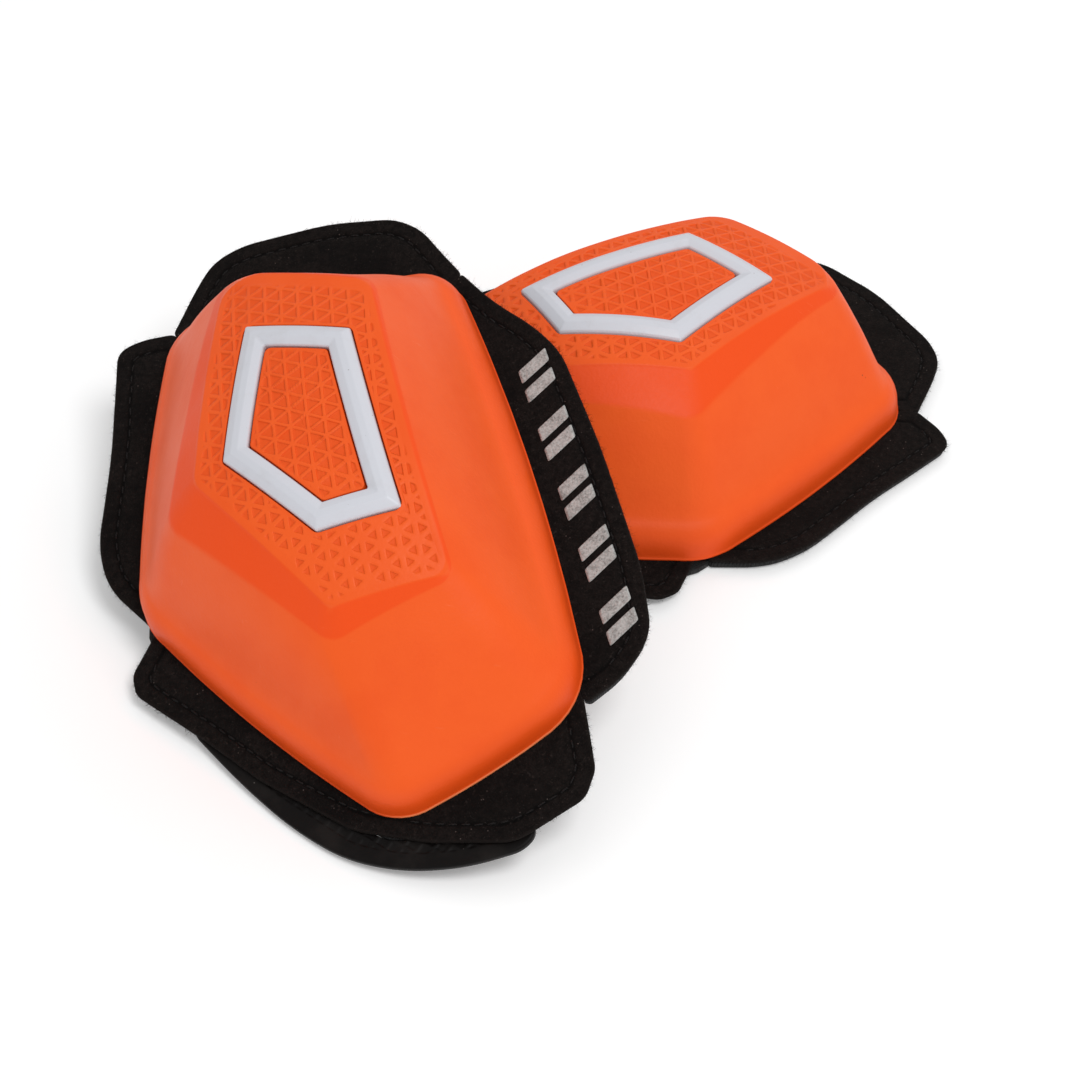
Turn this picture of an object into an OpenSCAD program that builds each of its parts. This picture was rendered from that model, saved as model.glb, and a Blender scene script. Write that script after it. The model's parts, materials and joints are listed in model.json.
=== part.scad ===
// A pair of motorcycle knee sliders, mirror images of each other. Each is a hollow moulded puck,
// riveted through a four-lobed fabric flange that has hook fabric on its back.
// Millimetres, +Z up. The origin lies on the floor, under the middle of the right pad.
// A pad's own frame: hook face on z = 0, +Y towards the puck's narrow end, +X towards its outer lobe.

/* [Puck] */
// Height of the puck's crown above the hook face
puck_top = 47.5; // [41:0.5:50]
// Radius of the crown across the pad
crown_rx = 100; // [85:1:130]
// Radius of the crown along the pad
crown_ry = 104; // [90:1:130]
// Radius of the crown along the pad from its top to the narrow end
crown_ry_back = 175; // [100:5:200]
// Height of the upright wall round the puck's rim
rim_wall = 5.5; // [4:0.5:7]
// Thickness of the puck's wall
puck_wall = 4; // [3:0.5:5]
// Outward bow of the rim's edges at their middles
rim_bow = 2.5; // [0:0.5:3]
// Extra fall of the band round the panel, for each millimetre of its width
crease_fall = 0.12; // [0:0.02:0.4]
// Fall of that band where it is at its widest
crease_drop = 2.6; // [0:0.2:3]
// Swell of the puck's sloping sides at their middles
side_swell = 1.4; // [0:0.2:2]

/* [Inlay ring] */
// Width of the inlaid ring's band
ring_band = 6.2; // [4:0.1:7]
// Depth of the groove that the ring sits in
groove_depth = 1.6; // [1:0.1:2]
// Height that the ring stands proud of the panel
ring_proud = 1.3; // [0.8:0.1:2]
// Width of the bevel along the ring's edges
ring_bevel = 1.4; // [1:0.1:1.8]
// Clearance between the ring and its groove
ring_fit = 0.1; // [0.05:0.05:0.2]
// Clearance between the ring and the floor of its groove
ring_seat = 0.05; // [0.05:0.05:0.2]

/* [Flange] */
// Thickness of the hook fabric and its backing
hook_thick = 2; // [1.6:0.1:2.4]
// Thickness of the suede cover
cover_thick = 1.2; // [1:0.1:1.6]
// Distance from the puck's rim to the line where a lobe bends
hinge_offset = 4; // [3.5:0.1:4.5]
// Radius of the lobes' corners
lobe_corner = 4; // [3:0.5:4.5]
// Gap at the line where a lobe bends
hinge_gap = 0.8; // [0.6:0.1:1]
// Distance that the hook fabric stops short of the cover's edge
hook_inset = 1; // [0.5:0.1:1.5]
// Thickness of a printed reflective bar
bar_thick = 0.15; // [0.1:0.05:0.2]

/* [Fixings] */
// Thickness of the base plate
plate_thick = 1.6; // [1.2:0.1:2]
// Diameter of a rivet's shank
rivet_d = 4; // [3:0.5:5]
// Diameter of a rivet's head
rivet_head_d = 7.5; // [6.5:0.1:8]
// Thickness of a washer
washer_thick = 0.5; // [0.4:0.1:0.6]

/* [Arrangement] */
// Turn of the right pad about the vertical
right_turn = 53; // [45:0.5:60]
// Turn of the left pad about the vertical
left_turn = 6.5; // [6:0.5:8]
// Lean of the left pad about its own X axis, tip side down
left_lean_x = 15.5; // [15:0.5:17]
// Lean of the left pad about its own Y axis, inner side down
left_lean_y = -16; // [-17:0.5:-15.5]
// Place of the left pad's middle, from the right pad's middle
left_place = [-55.3, -73.7, 24.15];

/* [Hidden] */

base_top = hook_thick + cover_thick;
plate_top = base_top + plate_thick;
rivet_top = plate_top + 1;
arc_steps = 5;
arc_turn = 15;
edge_steps = 5;
crown_centre = [-1, 12];
crown_top_y = 9;
band_wide = 6;
ring_radius = 2.4;
cavity_radius = 2.5;
cavity_shoulder = 5;
foam_gap = 1;
rivet_head_thick = 0.8;
ring_scale = [0.72, 0.62];

// Corners of the puck, in the order narrow inner, wide inner, tip, wide outer, narrow outer
rim_corners = [[-42, 75.5], [-57.5, -5.5], [-1, -73.5], [50, -53], [33, 72]];
rim_radii = [15, 20, 14, 20, 12];
crease_corners = [[-19.5, 66.5], [-39, 0], [-4, -38.5], [27, -30.5], [18.5, 52.5]];
crease_radii = [8, 7, 6, 5, 8];
panel_corners = [[-18, 65], [-29.5, 5.5], [-2, -32.5], [26, -29.5], [17.5, 51]];
panel_radii = [8, 6, 5, 4, 8];

// Free outlines of the lobes, each from one end of its bend line to the other
top_lobe = [[28, 87], [20, 94], [0, 98], [-24, 97], [-31, 91.5]];
outer_lobe = [[60, -44], [65.5, -36], [65.5, -21], [61, 14], [55, 45], [50, 54]];
inner_lobe = [[-52, 75], [-57, 69], [-61, 47], [-66, 21], [-66.5, 8]];
tip_lobe = [[-56, -8], [-61, -17], [-61, -22], [-44.5, -40], [-31, -54.5], [-9, -73.5],
    [6, -79], [25, -82.5], [43.5, -74], [46.5, -69], [46.5, -52], [0, 0]];
lip_edge = [[-47, -37], [-37, -52], [-26, -66], [-14, -77], [0, -83], [14, -85], [27, -84], [31, -81]];
tip_radii = [4, 4, 4, 30, 30, 20, 20, 12, 4, 4, 4, 4];
lip_radii = [2, 12, 12, 12, 12, 12, 3, 2, 1, 6, 1];
rivet_places = [[-14, 52], [-36, 0], [30, -28], [18, 44]];

function unit(v) = v / norm(v);
function between(a, b, t) = a + (b - a) * t;
function turned(v) = [v[1], -v[0]];
function past(points, i) = points[(i + len(points)) % len(points)];

// Bisector from corner i, scaled so that a unit step along it moves both edges in by one unit
function inward(points, i) = let (
    here = points[i],
    back = unit(past(points, i - 1) - here),
    on = unit(past(points, i + 1) - here),
    bend = cross(here - past(points, i - 1), past(points, i + 1) - here) < 0 ? -1 : 1)
    bend * unit(back + on) / sin(acos(back * on) / 2);
function inset(points, step) = [for (i = [0:len(points) - 1]) points[i] + inward(points, i) * step];

// Angle that an outline turns through at corner i
function turn_at(points, i) = 180 - acos(
    unit(past(points, i - 1) - points[i]) * unit(past(points, i + 1) - points[i]));

// Arc that rounds corner i of an outline to a radius
function corner_arc(points, i, radius, steps) = let (
    here = points[i],
    back = unit(past(points, i - 1) - here),
    on = unit(past(points, i + 1) - here),
    half = acos(back * on) / 2,
    bend = cross(here - past(points, i - 1), past(points, i + 1) - here) < 0 ? -1 : 1,
    centre = here + unit(back + on) * radius / sin(half),
    spoke = here + back * radius / tan(half) - centre,
    start = atan2(spoke[1], spoke[0]))
    [for (k = [0:steps]) let (angle = start + bend * (180 - 2 * half) * k / steps)
        centre + radius * [cos(angle), sin(angle)]];
function rounded(points, radii) = [for (i = [0:len(points) - 1]) each
    corner_arc(points, i, radii[i], ceil(turn_at(points, i) / arc_turn))];

// Rounded outline with extra points along its edges, so that it can follow the crown and bow outwards
function ring_points(points, radii, bow = 0) = let (
    n = len(points),
    arcs = [for (i = [0:n - 1]) each corner_arc(points, i, radii[i], arc_steps)],
    per = arc_steps + 1)
    [for (i = [0:n - 1]) let (a = arcs[i * per + arc_steps], b = arcs[((i + 1) % n) * per]) each concat(
        [for (k = [0:arc_steps]) arcs[i * per + k]],
        [for (k = [1:edge_steps]) let (t = k / (edge_steps + 1))
            between(a, b, t) + turned(unit(b - a)) * bow * 4 * t * (1 - t)])];

function crown(p) = puck_top - pow(p[0], 2) / (2 * crown_rx)
    - pow(p[1] - crown_top_y, 2) / (2 * (p[1] > crown_top_y ? crown_ry_back : crown_ry));
function on_crown(points, drop) = [for (p = points) [p[0], p[1], crown(p) - drop]];
function at_height(points, z) = [for (p = points) [p[0], p[1], z]];
function mid_ring(low, high, t) = [for (i = [0:len(low) - 1]) between(low[i], high[i], t)];
function toward(points, centre, t, drop) = on_crown([for (p = points) between(p, centre, t)], drop);

// Closed skin over a chain of rings, from a first point to a last point
module skin(rings, first, last) {
    n = len(rings[0]);
    m = len(rings);
    points = concat([for (r = rings) each r], [first, last]);
    polyhedron(points = points, faces = concat(
        [for (i = [0:n - 1]) [n * m, i, (i + 1) % n]],
        [for (k = [0:m - 2]) for (i = [0:n - 1]) each [
            [k * n + i, (k + 1) * n + i, (k + 1) * n + (i + 1) % n],
            [k * n + i, (k + 1) * n + (i + 1) % n, k * n + (i + 1) % n]]],
        [for (i = [0:n - 1]) [(m - 1) * n + i, n * m + 1, (m - 1) * n + (i + 1) % n]]));
}

// Closed skin over a chain of rings that comes back to its own start
module loop_skin(rings) {
    n = len(rings[0]);
    m = len(rings);
    polyhedron(points = [for (r = rings) each r], faces = [for (k = [0:m - 1]) for (i = [0:n - 1])
        let (next = (k + 1) % m) each [
            [k * n + i, next * n + i, next * n + (i + 1) % n],
            [k * n + i, next * n + (i + 1) % n, k * n + (i + 1) % n]]]);
}

// Rings of the puck that its parts share
rim_ring = ring_points(rim_corners, rim_radii, rim_bow);
function rim_inset(step) = ring_points(inset(rim_corners, step), [for (r = rim_radii) r - step],
    rim_bow * (1 - step / 12));
panel_ring = ring_points(panel_corners, panel_radii);
crease_ring = [for (i = [0:len(panel_ring) - 1]) let (p = ring_points(crease_corners, crease_radii)[i])
    let (wide = norm(p - panel_ring[i]))
    [p[0], p[1], crown(p) - crease_fall * wide - crease_drop * min(1, wide / band_wide)]];
ring_corners = [for (p = panel_corners) [crown_centre[0] + (p[0] - crown_centre[0]) * ring_scale[0],
    crown_centre[1] + (p[1] - crown_centre[1]) * ring_scale[1]]];
function ring_inset(step) = ring_points(inset(ring_corners, step), [for (r = panel_radii) ring_radius - step * 0.2]);

// Rings of the cavity from its ceiling down; margin is the clearance of what fills it
function cavity_rings(margin, floor_z) = let (
    low = rim_inset(puck_wall + margin),
    ceiling = ring_points(inset(panel_corners, 2 + margin), [for (r = panel_radii) cavity_radius]),
    drop = groove_depth + puck_wall + margin)
    [toward(ceiling, crown_centre, 0.5, drop),
        on_crown(ceiling, drop),
        mid_ring(at_height(rim_inset(puck_wall + cavity_shoulder + margin), base_top + rim_wall + 3.5),
            on_crown(ceiling, drop), 0.5),
        at_height(rim_inset(puck_wall + cavity_shoulder + margin), base_top + rim_wall + 3),
        at_height(rim_inset(puck_wall + 1 + margin), base_top + rim_wall - 1),
        at_height(low, floor_z)];

module slider_shell() {
    shoulder = at_height(rim_inset(5), base_top + rim_wall + 5.4);
    color("orangered") skin(concat(cavity_rings(0, base_top), [
        at_height(rim_ring, base_top),
        at_height(rim_inset(0.6), base_top + rim_wall),
        at_height(rim_inset(2.2), base_top + rim_wall + 3),
        shoulder,
        [for (p = mid_ring(shoulder, crease_ring, 0.5)) p + [0, 0, side_swell]],
        crease_ring,
        on_crown(panel_ring, 0),
        on_crown(ring_inset(0), 0),
        on_crown(ring_inset(0), groove_depth),
        on_crown(ring_inset(ring_band), groove_depth),
        on_crown(ring_inset(ring_band), 0),
        toward(ring_inset(ring_band), crown_centre, 0.5, 0)]),
        concat(crown_centre, [crown(crown_centre) - groove_depth - puck_wall]),
        concat(crown_centre, [crown(crown_centre)]));
}

module inlay_ring() {
    inner = ring_band - ring_fit;
    color("white") loop_skin([
        on_crown(ring_inset(ring_fit), groove_depth - ring_seat),
        on_crown(ring_inset(ring_fit), ring_bevel / 3 - ring_proud),
        on_crown(ring_inset(ring_bevel), -ring_proud),
        on_crown(ring_inset(ring_band - ring_bevel), -ring_proud),
        on_crown(ring_inset(inner), ring_bevel / 3 - ring_proud),
        on_crown(ring_inset(inner), groove_depth - ring_seat)]);
}

module foam_core() {
    drop = groove_depth + puck_wall + foam_gap;
    rings = cavity_rings(foam_gap, rivet_top);
    color("dimgray") skin([for (i = [len(rings) - 1:-1:0]) rings[i]],
        concat(crown_centre, [rivet_top]),
        concat(crown_centre, [crown(crown_centre) - drop]));
}

module base_plate() {
    color("black") translate([0, 0, base_top]) difference() {
        linear_extrude(plate_thick) polygon(rounded(inset(rim_corners, puck_wall + 0.5),
            [for (r = rim_radii) r - puck_wall]));
        for (p = rivet_places) translate([p[0], p[1], -1])
            cylinder(h = plate_thick + 2, d = rivet_d + 0.2, $fn = 48);
    }
}

module rivets() {
    head_low = hook_thick - washer_thick - rivet_head_thick;
    color("silver") for (p = rivet_places) translate([p[0], p[1], head_low]) {
        cylinder(h = rivet_head_thick, d = rivet_head_d, $fn = 48);
        cylinder(h = rivet_top - head_low, d = rivet_d, $fn = 48);
        translate([0, 0, plate_top - head_low])
            cylinder(h = rivet_top - plate_top, d = rivet_head_d - 1, $fn = 48);
    }
}

module washers() {
    color("gray") for (p = rivet_places) translate([p[0], p[1], hook_thick - washer_thick])
        difference() {
            cylinder(h = washer_thick, d = rivet_head_d + 1.5, $fn = 48);
            translate([0, 0, -1]) cylinder(h = washer_thick + 2, d = rivet_d + 0.2, $fn = 48);
        }
}

module plate_holes(diameter) {
    for (p = rivet_places) translate([p[0], p[1], -1])
        cylinder(h = base_top + 2, d = diameter, $fn = 48);
}

module cover_core() {
    color([0.1, 0.09, 0.09]) difference() {
        translate([0, 0, hook_thick]) linear_extrude(cover_thick) union() {
            polygon(rounded(inset(rim_corners, -hinge_offset), [for (r = rim_radii) r * 0.6]));
            polygon(rounded(tip_lobe, tip_radii));
        }
        plate_holes(rivet_d + 0.2);
    }
}

module hook_core() {
    color([0.05, 0.05, 0.05]) difference() {
        linear_extrude(hook_thick) polygon(rounded(inset(rim_corners, hook_inset - hinge_offset),
            [for (r = rim_radii) r * 0.6]));
        plate_holes(rivet_head_d + 2.5);
    }
}

// A point t of the way along a rim edge, moved outwards
function beside_rim(edge, t, out) = let (a = rim_corners[edge], b = past(rim_corners, edge + 1))
    between(a, b, t) + turned(unit(b - a)) * out;
function lobe_outline(edge, from, to, free) = concat([beside_rim(edge, from, hinge_offset + hinge_gap)],
    free, [beside_rim(edge, to, hinge_offset + hinge_gap)]);
top_outline = lobe_outline(4, 0.03, 0.94, top_lobe);
outer_outline = lobe_outline(3, 0.02, 0.9, outer_lobe);
inner_outline = lobe_outline(0, 0.07, 0.98, inner_lobe);
function lobe_radii(points, margin) = [for (i = [0:len(points) - 1])
    i == 0 || i == len(points) - 1 ? 0.5 : lobe_corner - margin];

module cover_lobe(points) {
    color([0.1, 0.09, 0.09]) translate([0, 0, hook_thick]) linear_extrude(cover_thick)
        polygon(rounded(points, lobe_radii(points, 0)));
}

module hook_lobe(points) {
    shape = inset(points, hook_inset);
    color([0.05, 0.05, 0.05]) linear_extrude(hook_thick)
        polygon(rounded(shape, lobe_radii(shape, hook_inset)));
}

module tip_lip() {
    out = hinge_offset - hook_inset + 0.5;
    shape = concat(lip_edge, [beside_rim(2, 0.55, out), inset(rim_corners, -out)[2], beside_rim(1, 0.3, out)]);
    color([0.07, 0.07, 0.07]) linear_extrude(hook_thick)
        polygon(rounded(shape, lip_radii));
}

// Slanted bars, evenly spaced along the middle of the outer lobe
module reflective_bars() {
    color("silver") for (i = [0:4]) translate([0, 0, base_top]) linear_extrude(bar_thick) let (
        low = beside_rim(3, 0.12 + 0.15 * i, hinge_offset + 3.4),
        along = unit(rim_corners[4] - rim_corners[3]),
        out = turned(along))
        polygon([low, low + out * 7 + along * 4, low + out * 7 + along * 14, low + along * 10]);
}

module right_pad() {
    rotate([0, 0, -right_turn]) mirror([1, 0, 0]) children();
}

module left_pad() {
    translate(left_place) rotate([left_lean_x, left_lean_y, left_turn]) children();
}

right_pad() slider_shell();  // right_slider_shell
right_pad() inlay_ring();  // right_inlay_ring
right_pad() foam_core();  // right_foam_core
right_pad() base_plate();  // right_base_plate
right_pad() rivets();  // right_rivets
right_pad() washers();  // right_washers
right_pad() cover_core();  // right_cover_core
right_pad() cover_lobe(top_outline);  // right_top_cover_flap
right_pad() cover_lobe(outer_outline);  // right_outer_cover_flap
right_pad() cover_lobe(inner_outline);  // right_inner_cover_flap
right_pad() hook_core();  // right_hook_core
right_pad() hook_lobe(top_outline);  // right_top_hook_flap
right_pad() hook_lobe(outer_outline);  // right_outer_hook_flap
right_pad() hook_lobe(inner_outline);  // right_inner_hook_flap
right_pad() tip_lip();  // right_tip_lip
right_pad() reflective_bars();  // right_reflective_bars
left_pad() slider_shell();  // left_slider_shell
left_pad() inlay_ring();  // left_inlay_ring
left_pad() foam_core();  // left_foam_core
left_pad() base_plate();  // left_base_plate
left_pad() rivets();  // left_rivets
left_pad() washers();  // left_washers
left_pad() cover_core();  // left_cover_core
left_pad() cover_lobe(top_outline);  // left_top_cover_flap
left_pad() cover_lobe(outer_outline);  // left_outer_cover_flap
left_pad() cover_lobe(inner_outline);  // left_inner_cover_flap
left_pad() hook_core();  // left_hook_core
left_pad() hook_lobe(top_outline);  // left_top_hook_flap
left_pad() hook_lobe(outer_outline);  // left_outer_hook_flap
left_pad() hook_lobe(inner_outline);  // left_inner_hook_flap
left_pad() tip_lip();  // left_tip_lip
left_pad() reflective_bars();  // left_reflective_bars
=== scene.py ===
import json
import math
import bmesh
import bpy
import numpy as np
from mathutils import Matrix, Vector


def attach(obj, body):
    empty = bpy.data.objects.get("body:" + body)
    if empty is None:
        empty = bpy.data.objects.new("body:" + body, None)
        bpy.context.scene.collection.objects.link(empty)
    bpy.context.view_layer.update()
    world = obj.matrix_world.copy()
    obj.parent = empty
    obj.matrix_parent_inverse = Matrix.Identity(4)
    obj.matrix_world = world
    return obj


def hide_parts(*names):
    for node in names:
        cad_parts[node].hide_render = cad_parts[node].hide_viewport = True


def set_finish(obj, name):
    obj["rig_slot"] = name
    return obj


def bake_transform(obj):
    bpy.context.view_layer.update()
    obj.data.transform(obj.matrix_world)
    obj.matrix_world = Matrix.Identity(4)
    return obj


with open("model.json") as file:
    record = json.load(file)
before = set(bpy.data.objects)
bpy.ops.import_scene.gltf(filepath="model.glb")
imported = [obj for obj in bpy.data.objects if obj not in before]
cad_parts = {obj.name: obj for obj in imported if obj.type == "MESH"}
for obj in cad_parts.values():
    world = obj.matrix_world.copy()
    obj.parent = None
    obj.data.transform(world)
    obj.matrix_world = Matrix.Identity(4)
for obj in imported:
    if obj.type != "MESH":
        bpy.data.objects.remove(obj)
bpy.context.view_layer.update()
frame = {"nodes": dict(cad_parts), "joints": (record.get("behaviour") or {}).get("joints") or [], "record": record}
record = frame["record"]
mm = 0.001

# All shapes are in millimetres in the pad's own plane.
# Corners run: narrow inner, wide inner, tip, wide outer, narrow outer.
puck = {
    "rimCorners": [(-42, 75.5), (-57.5, -5.5), (-1, -73.5), (50, -53), (33, 72)],
    "rimRadii": [15, 20, 14, 20, 12],
    "creaseCorners": [(-19.5, 66.5), (-39, 0), (-4, -38.5), (27, -30.5), (18.5, 52.5)],
    "creaseRadii": [8, 7, 6, 5, 8],
    "panelCorners": [(-18, 65), (-29.5, 5.5), (-2, -32.5), (26, -29.5), (17.5, 51)],
    "panelRadii": [8, 6, 5, 4, 8],
    "baseTop": 3.2, "top": 47.5, "topY": 9, "radiusX": 100, "radiusY": 104, "backRadiusY": 175,
    "rimWall": 5.5, "wall": 4, "bow": 2.2, "flashOut": 0.2, "swell": 1.4,
    "creaseFall": 0.12, "creaseDrop": 2.6, "bandWide": 6, "step": 0.25, "wear": 0.05,
    "centre": (-1, 12), "spacing": 0.45, "arcSteps": 9,
}
inlay = {"scale": (0.72, 0.62), "band": 6.2, "depth": 1.6, "proud": 1.45, "bevel": 2.25, "gap": 0.3,
         "crestRadius": 0.5, "footRadius": 2.2}
lattice = {"spacing": 4.1, "depth": 0.27, "thin": 0.26, "wide": 0.66, "slope": 0.28, "margin": 1.3, "ringMargin": 0.6,
           "narrowMargin": 3.6}


def rows(points):  # numbers or points as an array
    return np.array(points, float)


def unitRows(v):  # each row over its own length
    return v / np.maximum(np.linalg.norm(v, axis=-1, keepdims=True), 1e-12)


def turned(v):  # a quarter turn clockwise, so the outside of an anticlockwise outline
    return np.stack([v[..., 1], -v[..., 0]], -1)


def cross2(a, b):  # positive where b is anticlockwise of a
    return a[..., 0] * b[..., 1] - a[..., 1] * b[..., 0]


def cornerBisectors(corners):  # the step that moves both edges of a corner in by one
    back = unitRows(np.roll(corners, 1, 0) - corners)
    on = unitRows(np.roll(corners, -1, 0) - corners)
    half = np.arccos(np.clip((back * on).sum(1), -1, 1)) / 2
    side = np.where(cross2(-back, on) < 0, -1.0, 1.0)
    return unitRows(back + on) * (side / np.sin(half))[:, None]


def insetCorners(corners, step):  # every edge moved in by the step, or out where it is negative
    return rows(corners) + cornerBisectors(rows(corners)) * step


def roundedRing(corners, radii, counts, arcSteps, bow=0.0, closed=True):
    # every corner is an arc that touches both its edges; every edge bows outwards by its bow times 4t(1 - t)
    corners, radii = rows(corners), np.maximum(rows(radii), 0.05)
    bow = np.broadcast_to(rows(bow), len(corners))
    back = unitRows(np.roll(corners, 1, 0) - corners)
    on = unitRows(np.roll(corners, -1, 0) - corners)
    half = np.arccos(np.clip((back * on).sum(1), -1, 1)) / 2
    side = np.where(cross2(-back, on) < 0, -1.0, 1.0)
    centre = corners + unitRows(back + on) * (radii / np.sin(half))[:, None]
    spoke = corners + back * (radii / np.tan(half))[:, None] - centre
    angle = np.arctan2(spoke[:, 1], spoke[:, 0])[:, None] + (
        side * (math.pi - 2 * half))[:, None] * np.linspace(0, 1, arcSteps + 1)
    arcs = centre[:, None] + radii[:, None, None] * np.stack([np.cos(angle), np.sin(angle)], -1)
    parts = []
    for i, count in enumerate(counts):
        a, b = arcs[i, -1], arcs[(i + 1) % len(counts), 0]
        t = (np.arange(count) + 1) / (count + 1)
        parts += [arcs[i], a + (b - a) * t[:, None]
                  + turned(unitRows(b - a)) * (bow[i] * 4 * t * (1 - t))[:, None]]
    return np.vstack(parts if closed else parts[1:] + [arcs[0]])


def smoothed(points, spacing, radii):  # an open path with rounded corners, points a set distance apart
    points = rows(points)
    inner = points[1:-1]
    back, on = points[:-2] - inner, points[2:] - inner
    reach = np.minimum(rows(radii), 0.48 * np.minimum(np.linalg.norm(back, axis=1), np.linalg.norm(on, axis=1)))
    t = np.linspace(0, 1, 9)[None, :, None]
    a, c = (inner + unitRows(back) * reach[:, None])[:, None], (inner + unitRows(on) * reach[:, None])[:, None]
    bends = a * (1 - t) ** 2 + inner[:, None] * 2 * t * (1 - t) + c * t ** 2
    line = np.vstack([points[:1], bends.reshape(-1, 2), points[-1:]])
    return resampled(line, spacing)


def resampled(line, spacing=None, count=None):  # points at equal distances along a path
    step = np.linalg.norm(np.diff(line, axis=0), axis=1)
    along = np.concatenate([[0], np.cumsum(step)])
    count = count or max(3, int(round(along[-1] / spacing)) + 1)
    s = np.linspace(0, along[-1], count)
    return np.stack([np.interp(s, along, line[:, k]) for k in range(line.shape[1])], -1)


def distanceTo(line, points):  # the least distance from each point to a path's segments
    a, d = line[:-1], np.diff(line, axis=0)
    flat = points.reshape(-1, 2)
    least = np.full(len(flat), 1e9)
    for k in range(0, len(a), 64):  # in blocks, to keep the arrays small
        rel = flat[:, None] - a[None, k:k + 64]
        t = np.clip((rel * d[k:k + 64]).sum(-1) / np.maximum((d[k:k + 64] ** 2).sum(-1), 1e-12), 0, 1)
        least = np.minimum(least, np.linalg.norm(rel - t[..., None] * d[k:k + 64], axis=-1).min(1))
    return least.reshape(points.shape[:-1])


def softSection(keys):
    # a chain of rings, each with its reach, arc steps and rows before it; a key's corner is rounded by a curve
    # that starts and ends its reach before and after it
    out = []
    for i, (key, reach, arcSteps, fill) in enumerate(keys):
        bend = key[None]
        if 0 < i < len(keys) - 1 and reach > 0:
            back, on = keys[i - 1][0] - key, keys[i + 1][0] - key
            a = key + back * np.minimum(reach / np.maximum(np.linalg.norm(back, axis=1), 1e-9), 0.46)[:, None]
            b = key + on * np.minimum(reach / np.maximum(np.linalg.norm(on, axis=1), 1e-9), 0.46)[:, None]
            t = np.linspace(0, 1, arcSteps + 1)[:, None, None]
            bend = a * (1 - t) ** 2 + key * 2 * t * (1 - t) + b * t ** 2
        if out and fill:
            t = (np.arange(fill) + 1)[:, None, None] / (fill + 1)
            out.append(out[-1][-1] * (1 - t) + bend[0] * t)
        out.append(bend)
    return np.vstack(out)


class Pad:
    # A pad's own plane: millimetres along and across it, and up out of it, placed by its mount and its outer hinge
    def __init__(self, side):
        self.side, self.hand = side, 1.0 if side == "left" else -1.0
        mount = next(m for m in record["mounts"] if m["name"] == side + "_hook_face")
        hinge = next(j for j in frame["joints"] if j["name"] == side + "_outer_flap_hinge")
        self.origin = rows(mount["pos_m"])
        self.up = unitRows(-rows(mount["axis"]))
        corners = rows(puck["rimCorners"])
        u = unitRows(corners[4] - corners[3])
        along = self.hand * unitRows(rows(hinge["axis"]))
        across = self.hand * np.cross(self.up, along)
        self.x, self.y = u[0] * along - u[1] * across, u[1] * along + u[0] * across

    def place(self, points):  # origin plus x, y and up, each times its own coordinate
        p = rows(points) * mm
        return self.origin + p[..., :1] * self.x + p[..., 1:2] * self.y + p[..., 2:3] * self.up

    def name(self, words):
        return self.side + "_" + words


pads = [Pad("right"), Pad("left")]


def fillMesh(name, places, faces):  # whole arrays of places and faces put into a new mesh
    mesh = bpy.data.meshes.new(name)
    sides = np.concatenate([np.full(len(f), f.shape[1]) for f in faces])
    corners = np.concatenate([f.ravel() for f in faces]).astype(np.int32)
    mesh.vertices.add(len(places))
    mesh.vertices.foreach_set("co", places.astype(np.float32).ravel())
    mesh.loops.add(len(corners))
    mesh.loops.foreach_set("vertex_index", corners)
    mesh.polygons.add(len(sides))
    mesh.polygons.foreach_set("loop_start", (np.cumsum(sides) - sides).astype(np.int32))
    mesh.update(calc_edges=True)
    return mesh


def finishMesh(name, verts, faces, pad, body, uv=None, masks=None, merge=0.0, smooth=True):
    # verts are in the pad's plane; a right pad is mirrored, so its faces are turned over
    if pad.hand < 0:
        faces = [f[:, ::-1] for f in faces]
    mesh = fillMesh(name, pad.place(verts), faces)
    if uv is not None:
        layer = mesh.uv_layers.new(name="padPlane")
        index = np.empty(len(mesh.loops), np.int32)
        mesh.loops.foreach_get("vertex_index", index)
        layer.data.foreach_set("uv", uv[index].astype(np.float32).ravel())
    for key, values in (masks or {}).items():
        mesh.attributes.new(key, "FLOAT", "POINT").data.foreach_set("value", values.astype(np.float32).ravel())
    if merge:
        bm = bmesh.new()
        bm.from_mesh(mesh)
        bmesh.ops.remove_doubles(bm, verts=bm.verts, dist=merge * mm)
        bmesh.ops.dissolve_degenerate(bm, edges=bm.edges, dist=merge * mm * 0.2)
        bm.to_mesh(mesh)
        bm.free()
    mesh.polygons.foreach_set("use_smooth", np.full(len(mesh.polygons), smooth))
    mesh.update()
    piece = bpy.data.objects.new(name, mesh)
    bpy.context.scene.collection.objects.link(piece)
    if body:
        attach(piece, body)
    return piece


def gridFaces(rowCount, columnCount, wrap=True, loop=False, start=0):
    # quads between neighbouring rows, which run anticlockwise and climb outwards
    i = np.arange(rowCount if loop else rowCount - 1)[:, None]
    j = np.arange(columnCount if wrap else columnCount - 1)[None, :]
    nextRow, nextColumn = (i + 1) % rowCount, (j + 1) % columnCount
    corner = lambda r, c: (r * columnCount + c + start).ravel()
    return np.stack([corner(i, j), corner(i, nextColumn), corner(nextRow, nextColumn), corner(nextRow, j)], 1)


def poleFaces(pole, first, columnCount, top):  # a fan from one ring to a pole
    j = np.arange(columnCount)
    fan = [first + j, first + (j + 1) % columnCount, np.full(columnCount, pole)]
    return np.stack(fan if top else fan[::-1], 1)


def closedSkin(section, lowPole, highPole):  # a chain of rings, closed by a fan to a pole at each end
    rowCount, columnCount = section.shape[:2]
    last = rowCount * columnCount
    faces = [gridFaces(rowCount, columnCount), poleFaces(last, 0, columnCount, False),
             poleFaces(last + 1, last - columnCount, columnCount, True)]
    return np.vstack([section.reshape(-1, 3), [lowPole], [highPole]]), faces


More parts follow.
